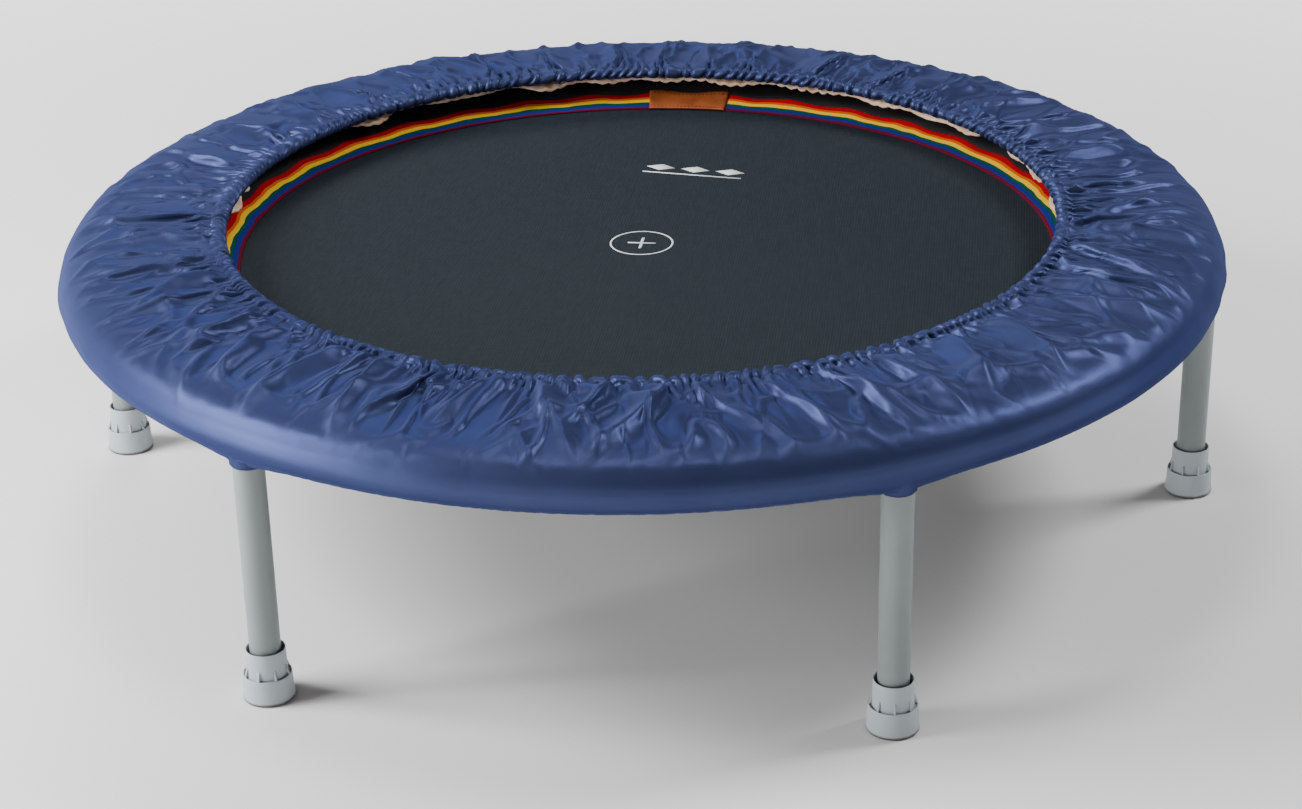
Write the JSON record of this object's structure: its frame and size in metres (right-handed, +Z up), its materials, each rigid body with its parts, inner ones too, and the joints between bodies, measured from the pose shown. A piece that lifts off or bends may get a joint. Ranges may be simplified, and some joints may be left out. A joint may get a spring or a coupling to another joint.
{
  "type": "mini trampoline",
  "caption": "Round mini trampoline: woven mat on coil springs in a steel tube ring, with a soft rim cover and screw-in legs on rubber feet.",
  "frame": {"origin": "centre of the ring, on the floor under the feet", "axes": "+Z up; +X through the first leg; the leather patch is near +Y"},
  "size_m": [1.028, 1.02, 0.262],
  "materials": {
    "frame": "satin grey powder coat",
    "leg": "satin light grey powder coat",
    "foot": "matt light grey rubber",
    "spring": "zinc-plated spring steel",
    "mat": "dark slate woven polypropylene",
    "webbing": "woven webbing in six coloured stripes",
    "leather": "smooth cognac leather, stitched",
    "skirt": "matt black woven fabric",
    "foam": "beige soft foam",
    "cover": "satin blue coated nylon",
    "elastic": "braided elastic cord"
  },
  "bodies": {
    "frame": {"frame_ring": "frame", "spring_01": "spring", "spring_02": "spring", "spring_03": "spring", "spring_04": "spring", "spring_05": "spring", "spring_06": "spring", "spring_07": "spring", "spring_08": "spring", "spring_09": "spring", "spring_10": "spring", "spring_11": "spring", "spring_12": "spring", "spring_13": "spring", "spring_14": "spring", "spring_15": "spring", "spring_16": "spring", "spring_17": "spring", "spring_18": "spring", "spring_19": "spring", "spring_20": "spring", "spring_21": "spring", "spring_22": "spring", "spring_23": "spring", "spring_24": "spring", "spring_25": "spring", "spring_26": "spring", "spring_27": "spring", "spring_28": "spring", "spring_29": "spring", "spring_30": "spring", "spring_31": "spring", "spring_32": "spring", "spring_33": "spring", "spring_34": "spring", "spring_35": "spring", "spring_36": "spring", "spring_skirt": "skirt", "foam_ring": "foam", "rim_cover": "cover", "hem_elastic": "elastic"},
    "mat": {"mat": "mat", "webbing_band": "webbing", "leather_patch": "leather"},
    "leg_1": {"leg_1": "leg", "foot_1": "foot"},
    "leg_2": {"leg_2": "leg", "foot_2": "foot"},
    "leg_3": {"leg_3": "leg", "foot_3": "foot"},
    "leg_4": {"leg_4": "leg", "foot_4": "foot"},
    "leg_5": {"leg_5": "leg", "foot_5": "foot"},
    "leg_6": {"leg_6": "leg", "foot_6": "foot"}
  },
  "joints": [
    {"name": "mat_bounce", "type": "slide", "parent": "frame", "child": "mat", "axis": [0, 0, 1], "range_m": [-0.12, 0], "stiffness_N_per_m": 6000, "deforming": ["spring_01", "spring_02", "spring_03", "spring_04", "spring_05", "spring_06", "spring_07", "spring_08", "spring_09", "spring_10", "spring_11", "spring_12", "spring_13", "spring_14", "spring_15", "spring_16", "spring_17", "spring_18", "spring_19", "spring_20", "spring_21", "spring_22", "spring_23", "spring_24", "spring_25", "spring_26", "spring_27", "spring_28", "spring_29", "spring_30", "spring_31", "spring_32", "spring_33", "spring_34", "spring_35", "spring_36", "spring_skirt"]},
    {"name": "leg_1_unscrew", "type": "slide", "parent": "frame", "child": "leg_1", "axis": [0, 0, -1], "range_m": [0, 0.026]},
    {"name": "leg_2_unscrew", "type": "slide", "parent": "frame", "child": "leg_2", "axis": [0, 0, -1], "range_m": [0, 0.026]},
    {"name": "leg_3_unscrew", "type": "slide", "parent": "frame", "child": "leg_3", "axis": [0, 0, -1], "range_m": [0, 0.026]},
    {"name": "leg_4_unscrew", "type": "slide", "parent": "frame", "child": "leg_4", "axis": [0, 0, -1], "range_m": [0, 0.026]},
    {"name": "leg_5_unscrew", "type": "slide", "parent": "frame", "child": "leg_5", "axis": [0, 0, -1], "range_m": [0, 0.026]},
    {"name": "leg_6_unscrew", "type": "slide", "parent": "frame", "child": "leg_6", "axis": [0, 0, -1], "range_m": [0, 0.026]}
  ]
}
